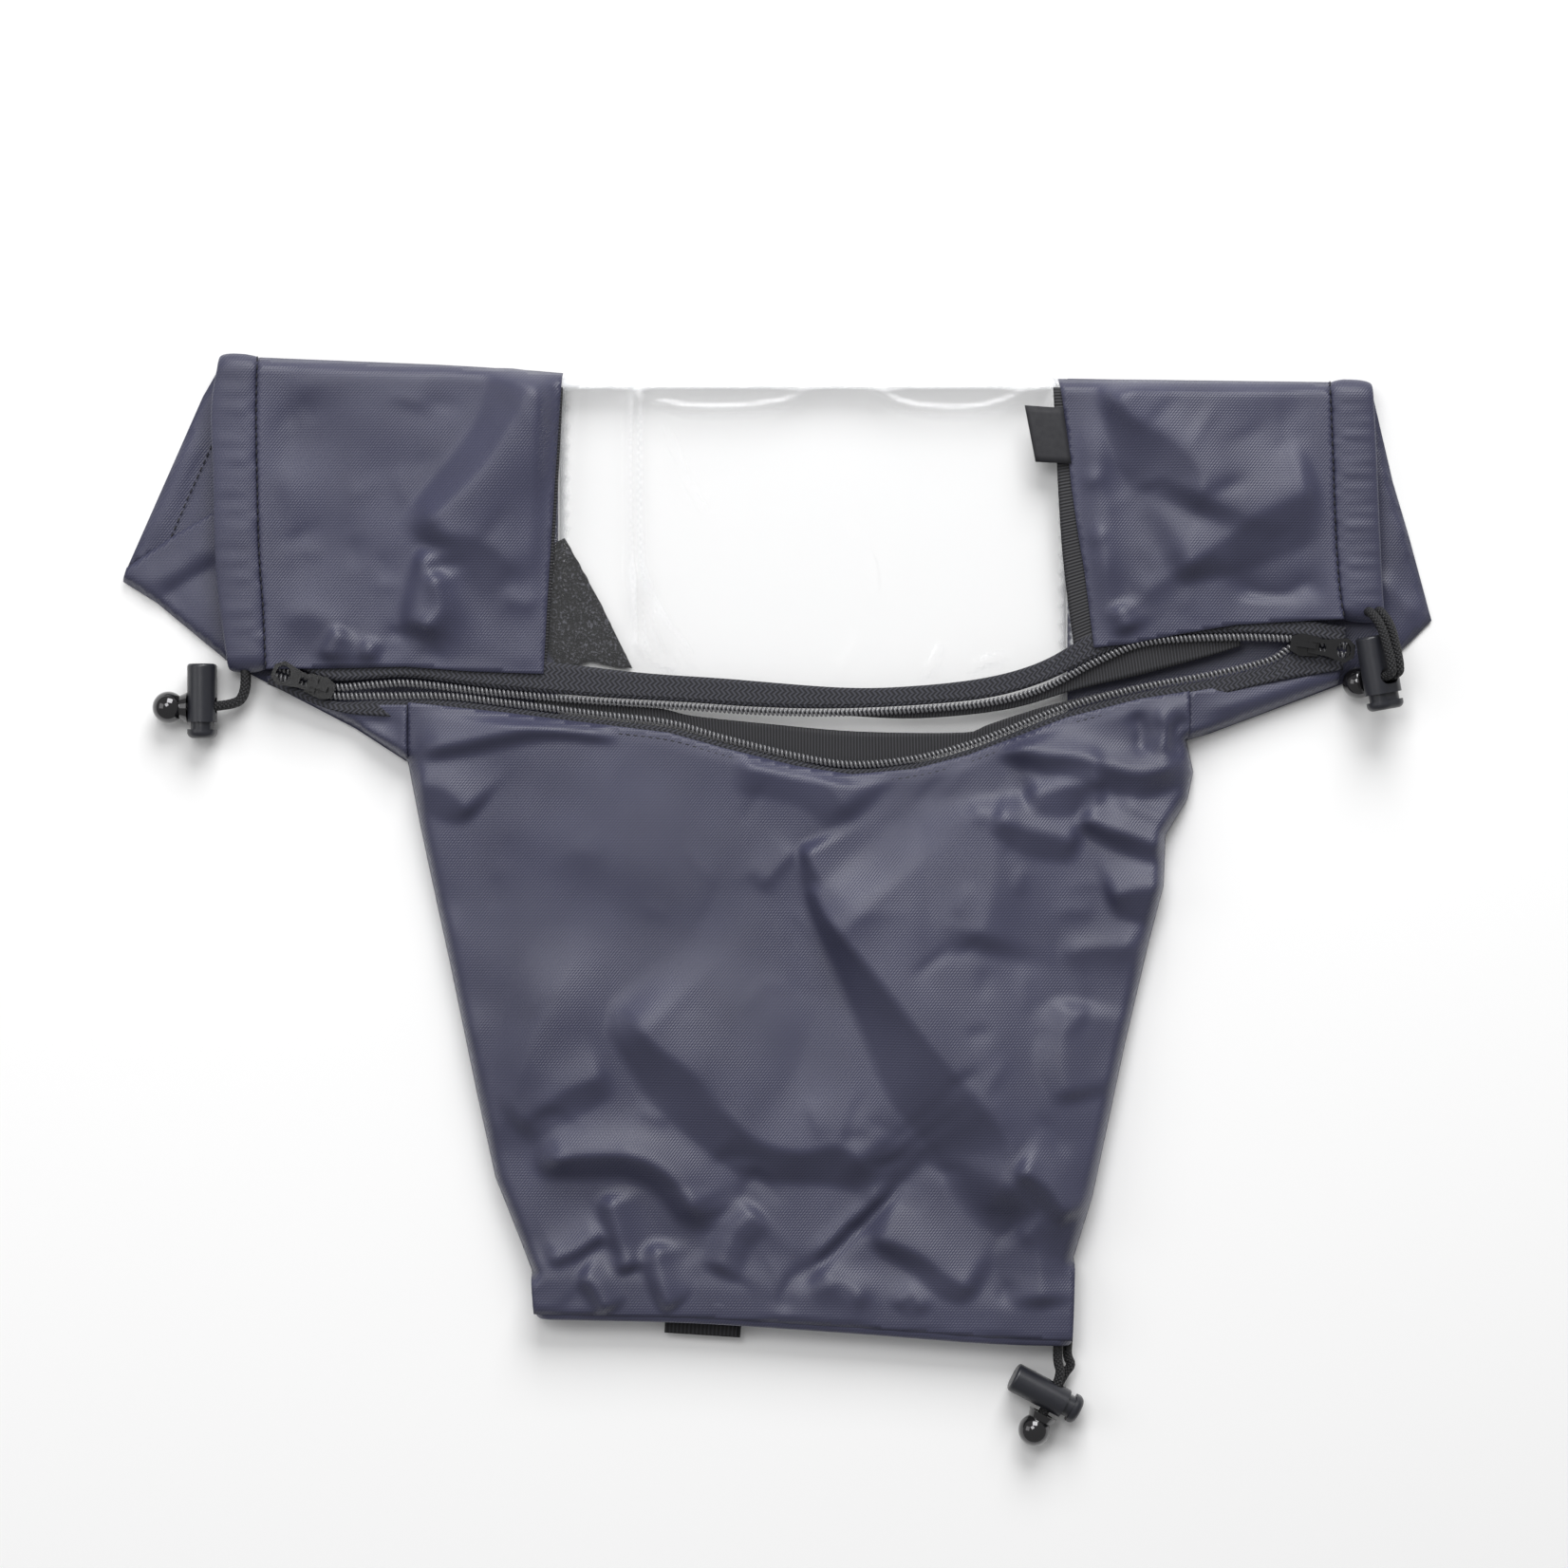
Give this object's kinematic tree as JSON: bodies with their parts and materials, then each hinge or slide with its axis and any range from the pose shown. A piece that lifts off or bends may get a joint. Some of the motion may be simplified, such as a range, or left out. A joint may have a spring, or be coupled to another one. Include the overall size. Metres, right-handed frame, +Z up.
{
  "type": "camera rain cover",
  "caption": "Flat soft camera rain cover: clear vinyl window, hand sleeves with drawcord cuffs, tapered lens sleeve with drawcord hem, curved coil zipper and spring cord locks.",
  "frame": {"origin": "on the surface that the cover lies on, under the middle of the fabric's bounding box", "axes": "+X along the hand sleeves towards the cuff with the shorter hem, +Y towards the folded top edge of the window, +Z up out of the surface"},
  "size_m": [0.53, 0.4415, 0.0302],
  "materials": {
    "nylon_fabric": "fine twill weave, slightly shiny coated nylon",
    "clear_pvc": "clear flexible vinyl sheet",
    "zipper_tape": "herringbone woven tape, matte",
    "grosgrain": "ribbed woven ribbon, matte",
    "coil_nylon": "glossy nylon coil",
    "slider_metal": "semi-gloss black enamel",
    "cord": "braided polyester cord, matte",
    "lock_plastic": "semi-matte moulded plastic",
    "spring_steel": "bright spring wire",
    "ball_gloss": "glossy gunmetal-coloured plastic",
    "label_cloth": "smooth woven label, blank",
    "loop_pile": "short loop pile",
    "webbing": "ribbed webbing"
  },
  "bodies": {
    "cover": {"sleeve_left_back": "nylon_fabric", "sleeve_right_back": "nylon_fabric", "lens_sleeve_back": "nylon_fabric", "sleeve_left_front": "nylon_fabric", "sleeve_right_front": "nylon_fabric", "lens_sleeve_front": "nylon_fabric", "shoulder_left": "nylon_fabric", "shoulder_right": "nylon_fabric", "cuff_hem_left": "nylon_fabric", "cuff_hem_right": "nylon_fabric", "lens_hem": "nylon_fabric", "window_back": "clear_pvc", "window_front": "clear_pvc", "zipper_tape_upper": "zipper_tape", "zipper_tape_lower": "zipper_tape", "zipper_binding_upper": "grosgrain", "zipper_binding_lower": "grosgrain", "window_binding_left": "grosgrain", "window_binding_right": "grosgrain", "zipper_coil_upper": "coil_nylon", "zipper_coil_lower": "coil_nylon", "zipper_end_stops": "slider_metal", "drawcord_left_channel": "cord", "drawcord_left_upper": "cord", "drawcord_left_lower": "cord", "drawcord_lens_channel": "cord", "drawcord_lens_upper": "cord", "drawcord_lens_lower": "cord", "drawcord_right_channel": "cord", "drawcord_right_upper": "cord", "drawcord_right_lower": "cord", "cord_knot_left": "cord", "cord_knot_lens": "cord", "cord_knot_right": "cord", "cord_ball_left": "ball_gloss", "cord_collar_left": "ball_gloss", "cord_ball_lens": "ball_gloss", "cord_collar_lens": "ball_gloss", "cord_ball_right": "ball_gloss", "cord_collar_right": "ball_gloss", "loop_patch": "loop_pile", "hem_tab": "webbing"},
    "lock_left": {"lock_barrel_left": "lock_plastic", "lock_spring_left": "spring_steel"},
    "plunger_left": {"lock_plunger_left": "lock_plastic"},
    "lock_lens": {"lock_barrel_lens": "lock_plastic", "lock_spring_lens": "spring_steel"},
    "plunger_lens": {"lock_plunger_lens": "lock_plastic"},
    "lock_right": {"lock_barrel_right": "lock_plastic", "lock_spring_right": "spring_steel"},
    "plunger_right": {"lock_plunger_right": "lock_plastic"},
    "slider_left": {"zipper_slider_left": "slider_metal"},
    "pull_left": {"pull_tab_left": "slider_metal"},
    "slider_right": {"zipper_slider_right": "slider_metal"},
    "pull_right": {"pull_tab_right": "slider_metal"},
    "label": {"label_tag": "label_cloth"}
  },
  "joints": [
    {"name": "lock_left_slide", "type": "slide", "parent": "cover", "child": "lock_left", "axis": [1, 0, 0], "range_m": [0, 0.0035]},
    {"name": "plunger_left_press", "type": "slide", "parent": "lock_left", "child": "plunger_left", "axis": [0, 1, 0], "range_m": [0, 0.0029], "stiffness_N_per_m": 300, "springref_m": -0.003, "deforming": ["lock_spring_left"]},
    {"name": "lock_lens_slide", "type": "slide", "parent": "cover", "child": "lock_lens", "axis": [0.4664, 0.8846, 0], "range_m": [-0.0015, 0.001]},
    {"name": "plunger_lens_press", "type": "slide", "parent": "lock_lens", "child": "plunger_lens", "axis": [-0.8846, 0.4664, 0], "range_m": [0, 0.0029], "stiffness_N_per_m": 300, "springref_m": -0.003, "deforming": ["lock_spring_lens"]},
    {"name": "lock_right_slide", "type": "slide", "parent": "cover", "child": "lock_right", "axis": [0.5652, 0.0976, 0.8192], "range_m": [0, 0.001]},
    {"name": "plunger_right_press", "type": "slide", "parent": "lock_right", "child": "plunger_right", "axis": [-0.1702, 0.9854, 0], "range_m": [0, 0.0029], "stiffness_N_per_m": 300, "springref_m": -0.003, "deforming": ["lock_spring_right"]},
    {"name": "slider_right_slide", "type": "slide", "parent": "cover", "child": "slider_right", "axis": [0.9903, -0.1392, 0], "range_m": [0, 0.0015]},
    {"name": "slider_left_slide", "type": "slide", "parent": "cover", "child": "slider_left", "axis": [-0.9397, 0.342, 0], "range_m": [0, 0.002]},
    {"name": "pull_right_flip", "type": "hinge", "parent": "slider_right", "child": "pull_right", "pos_m": [0.21448, 0.08278, 0.0144], "axis": [-0.1392, -0.9903, 0], "range_deg": [0, 150]},
    {"name": "pull_left_flip", "type": "hinge", "parent": "slider_left", "child": "pull_left", "pos_m": [-0.186, 0.06685, 0.0144], "axis": [0.342, 0.9397, 0], "range_deg": [0, 150]},
    {"name": "label_flip", "type": "hinge", "parent": "cover", "child": "label", "pos_m": [0.1166, 0.1673, 0.0127], "axis": [-0.153, 0.9882, 0], "range_deg": [0, 150]}
  ]
}
